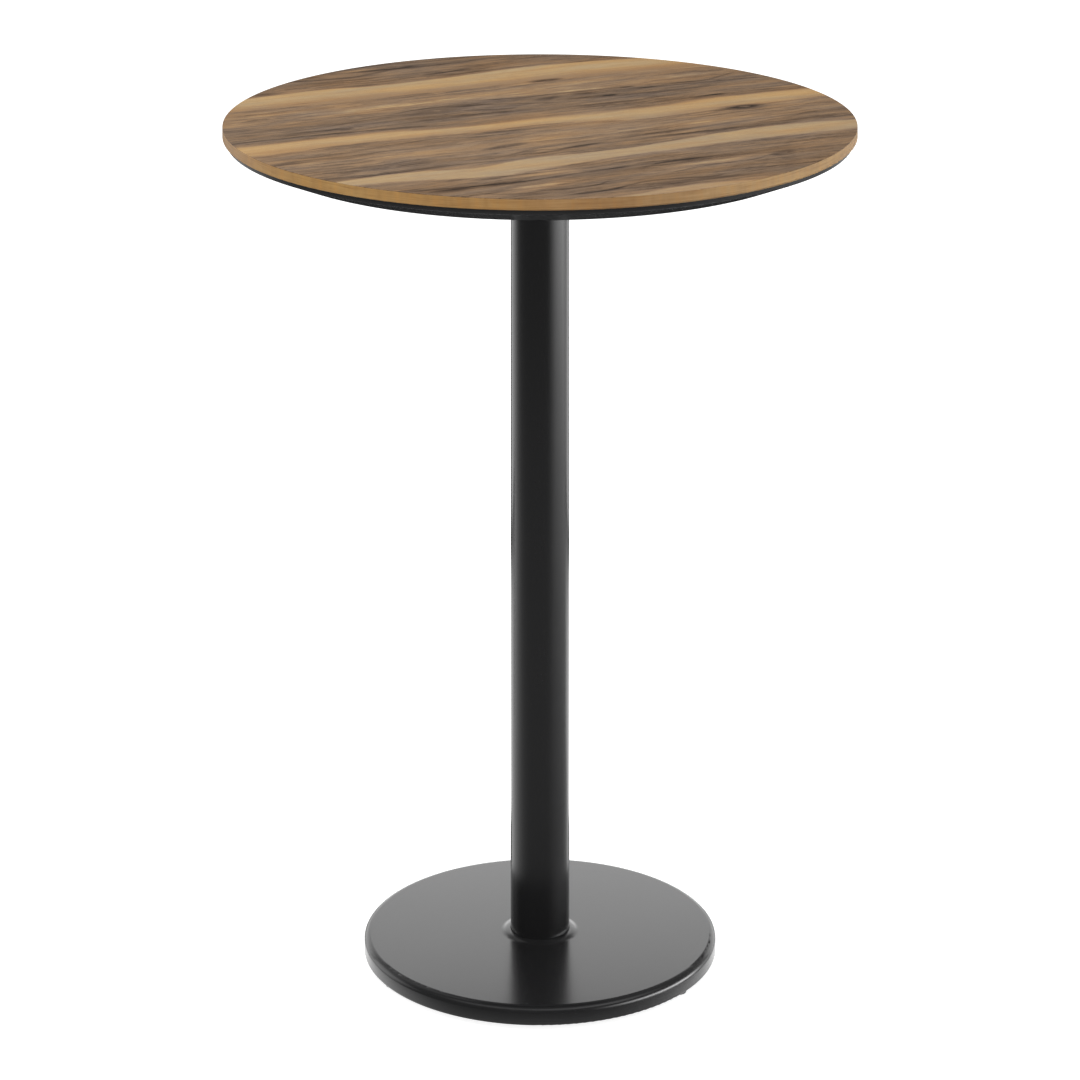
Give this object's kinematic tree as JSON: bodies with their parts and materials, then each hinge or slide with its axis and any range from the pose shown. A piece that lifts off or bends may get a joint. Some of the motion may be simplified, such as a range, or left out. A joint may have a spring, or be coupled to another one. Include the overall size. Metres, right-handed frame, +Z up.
{
  "type": "pub table",
  "caption": "Bar-height round table: wood-grain top with black bevelled underside on a black steel column and weighted disc base with levelling feet.",
  "frame": {"origin": "on the floor, on the column's axis", "axes": "+Z up along the column, -Y towards the front of the table, +X to its right"},
  "size_m": [0.8, 0.8, 1.05],
  "materials": {
    "decor_laminate": "satin printed walnut grain",
    "edge_band": "satin printed wood grain",
    "core_board": "raw particle board",
    "black_board": "satin black lacquer",
    "brass": "turned",
    "black_casting": "black paint over a cast surface",
    "zinc_steel": "bright zinc",
    "turned_steel": "turned",
    "black_powder_coat": "smooth semi-gloss black powder coat",
    "ballast_iron": "primed cast surface",
    "foot_plastic": "moulded"
  },
  "bodies": {
    "table": {"laminate_sheet": "decor_laminate", "edge_band": "edge_band", "core_board": "core_board", "underside_board": "black_board", "threaded_inserts": "brass", "top_spider": "black_casting", "spider_screws": "zinc_steel", "column_tube": "black_powder_coat", "tie_rod": "zinc_steel", "rod_upper_nut": "zinc_steel", "rod_lower_nut": "zinc_steel", "clamp_washer": "zinc_steel", "spring_washer": "zinc_steel", "centring_bush": "turned_steel", "base_cover": "black_powder_coat", "ballast_disc": "ballast_iron", "foot_sleeves": "turned_steel"},
    "front_right_pad": {"foot_pad_front_right": "foot_plastic"},
    "front_right_stud": {"foot_stud_front_right": "zinc_steel"},
    "back_pad": {"foot_pad_back": "foot_plastic"},
    "back_stud": {"foot_stud_back": "zinc_steel"},
    "front_left_pad": {"foot_pad_front_left": "foot_plastic"},
    "front_left_stud": {"foot_stud_front_left": "zinc_steel"}
  },
  "joints": [
    {"name": "front_right_foot_travel", "type": "slide", "parent": "table", "child": "front_right_pad", "axis": [0, 0, -1], "range_m": [0, 0.008]},
    {"name": "front_right_foot_turn", "type": "hinge", "parent": "front_right_pad", "child": "front_right_stud", "pos_m": [0.16975, -0.11023, 0.0085], "axis": [0, 0, -1], "range_deg": [0, 2305]},
    {"name": "back_foot_travel", "type": "slide", "parent": "table", "child": "back_pad", "axis": [0, 0, -1], "range_m": [0, 0.008]},
    {"name": "back_foot_turn", "type": "hinge", "parent": "back_pad", "child": "back_stud", "pos_m": [0.01059, 0.20212, 0.0085], "axis": [0, 0, -1], "range_deg": [0, 2305]},
    {"name": "front_left_foot_travel", "type": "slide", "parent": "table", "child": "front_left_pad", "axis": [0, 0, -1], "range_m": [0, 0.008]},
    {"name": "front_left_foot_turn", "type": "hinge", "parent": "front_left_pad", "child": "front_left_stud", "pos_m": [-0.18034, -0.09189, 0.0085], "axis": [0, 0, -1], "range_deg": [0, 2305]}
  ],
  "couplings": [
    {"joint": "front_right_foot_turn", "follows": "front_right_foot_travel", "rad_per_m": 5026.5},
    {"joint": "back_foot_turn", "follows": "back_foot_travel", "rad_per_m": 5026.5},
    {"joint": "front_left_foot_turn", "follows": "front_left_foot_travel", "rad_per_m": 5026.5}
  ]
}
